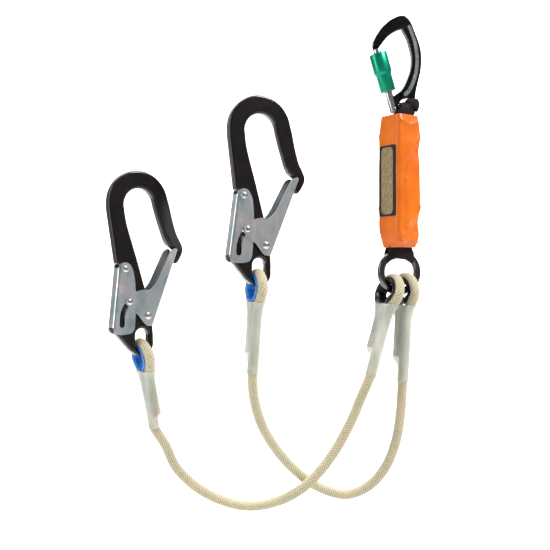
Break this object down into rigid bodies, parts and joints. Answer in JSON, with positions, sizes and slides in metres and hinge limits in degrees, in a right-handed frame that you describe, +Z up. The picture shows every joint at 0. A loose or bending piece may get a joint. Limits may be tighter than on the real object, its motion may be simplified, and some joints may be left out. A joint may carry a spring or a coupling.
{
  "type": "shock absorbing lanyard",
  "caption": "Twin-leg fall arrest lanyard: locking carabiner, covered webbing energy absorber, steel ring and rope legs ending in large-opening double-action hooks.",
  "frame": {"origin": "bearing face inside the carabiner's crown, where the lanyard hangs", "axes": "+Z up towards the carabiner's crown, +X across the hanging legs towards the absorber, +Y away from the side with the rivet springs"},
  "size_m": [0.4064, 0.102, 0.641],
  "materials": {
    "carabiner_grey": "dark grey, glossy",
    "polished_steel": "polished",
    "green_anodised": "green anodised, metallic",
    "black_webbing": "woven webbing",
    "orange_vinyl": "coated fabric, satin",
    "label_tan": "matt",
    "dark_steel": "dark, polished",
    "cream_rope": "braided",
    "blue_plastic": "moulded",
    "black_plastic": "moulded",
    "clear_sleeve": "clear flexible plastic, milky",
    "black_enamel": "gloss black coating",
    "zinc_plate": "zinc plated, bright",
    "spring_steel": "drawn wire"
  },
  "bodies": {
    "absorber": {"absorber_cover": "orange_vinyl", "tear_webbing_pack": "black_webbing", "upper_webbing_loop": "black_webbing", "lower_webbing_loop": "black_webbing", "cover_label": "label_tan", "left_rope": "cream_rope", "right_rope": "cream_rope", "left_hook_thimble": "blue_plastic", "left_hook_sleeve": "clear_sleeve", "left_ring_thimble": "black_plastic", "left_ring_sleeve": "clear_sleeve", "right_hook_thimble": "blue_plastic", "right_hook_sleeve": "clear_sleeve", "right_ring_thimble": "black_plastic", "right_ring_sleeve": "clear_sleeve"},
    "ring": {"attachment_ring": "dark_steel"},
    "carabiner": {"carabiner_body": "carabiner_grey", "carabiner_hinge_pin": "polished_steel"},
    "carabiner_gate": {"carabiner_gate": "polished_steel", "carabiner_latch_pin": "spring_steel", "sleeve_spring": "spring_steel"},
    "locking_sleeve": {"locking_sleeve": "green_anodised"},
    "left_hook": {"left_hook_body": "black_enamel", "left_gate_rivet": "zinc_plate", "left_lever_rivet": "zinc_plate", "left_gate_spring": "spring_steel", "left_lever_spring": "spring_steel"},
    "left_hook_gate": {"left_hook_gate": "zinc_plate", "left_latch_pin": "zinc_plate"},
    "left_hook_lever": {"left_hook_lever": "zinc_plate"},
    "right_hook": {"right_hook_body": "black_enamel", "right_gate_rivet": "zinc_plate", "right_lever_rivet": "zinc_plate", "right_gate_spring": "spring_steel", "right_lever_spring": "spring_steel"},
    "right_hook_gate": {"right_hook_gate": "zinc_plate", "right_latch_pin": "zinc_plate"},
    "right_hook_lever": {"right_hook_lever": "zinc_plate"}
  },
  "joints": [
    {"name": "carabiner_tilt", "type": "hinge", "parent": "absorber", "child": "carabiner", "pos_m": [0.00297, 0.00042, -0.104], "axis": [0.9903, 0.1392, 0], "range_deg": [-40, 40]},
    {"name": "carabiner_gate_swing", "type": "hinge", "parent": "carabiner", "child": "carabiner_gate", "pos_m": [-0.0102, -0.00143, -0.104], "axis": [-0.1392, 0.9903, 0], "range_deg": [0, 14], "stiffness_Nm_per_rad": 0.25, "springref_deg": -20.05},
    {"name": "sleeve_twist", "type": "hinge", "parent": "carabiner_gate", "child": "locking_sleeve", "pos_m": [-0.0102, -0.00143, -0.104], "axis": [-0.2746, -0.0386, 0.9608], "range_deg": [0, 90], "stiffness_Nm_per_rad": 0.02, "springref_deg": -11.46},
    {"name": "ring_spin", "type": "hinge", "parent": "absorber", "child": "ring", "pos_m": [-0.0025, 0, -0.315], "axis": [-0.2588, 0.9659, 0], "continuous": true},
    {"name": "left_hook_swing", "type": "hinge", "parent": "absorber", "child": "left_hook", "pos_m": [-0.3389, 0, -0.407], "axis": [0.5592, -0.829, 0], "range_deg": [-25, 25]},
    {"name": "left_gate_swing", "type": "hinge", "parent": "left_hook", "child": "left_hook_gate", "pos_m": [-0.3343, 0.0031, -0.3715], "axis": [0.5592, -0.829, 0], "range_deg": [0, 33], "stiffness_Nm_per_rad": 0.12, "springref_deg": -34.38},
    {"name": "left_lever_squeeze", "type": "hinge", "parent": "left_hook", "child": "left_hook_lever", "pos_m": [-0.35954, -0.01392, -0.3109], "axis": [0.5592, -0.829, 0], "range_deg": [0, 3.5]},
    {"name": "right_hook_swing", "type": "hinge", "parent": "absorber", "child": "right_hook", "pos_m": [-0.1859, -0.038, -0.3167], "axis": [0.4067, -0.9135, 0], "range_deg": [-25, 25]},
    {"name": "right_gate_swing", "type": "hinge", "parent": "right_hook", "child": "right_hook_gate", "pos_m": [-0.1797, -0.03524, -0.28142], "axis": [0.4067, -0.9135, 0], "range_deg": [0, 33], "stiffness_Nm_per_rad": 0.12, "springref_deg": -34.38},
    {"name": "right_lever_squeeze", "type": "hinge", "parent": "right_hook", "child": "right_hook_lever", "pos_m": [-0.20557, -0.04676, -0.21979], "axis": [0.4067, -0.9135, 0], "range_deg": [0, 3.5]}
  ],
  "couplings": [
    {"joint": "left_lever_squeeze", "follows": "left_gate_swing", "ratio": 0.1},
    {"joint": "right_lever_squeeze", "follows": "right_gate_swing", "ratio": 0.1}
  ]
}
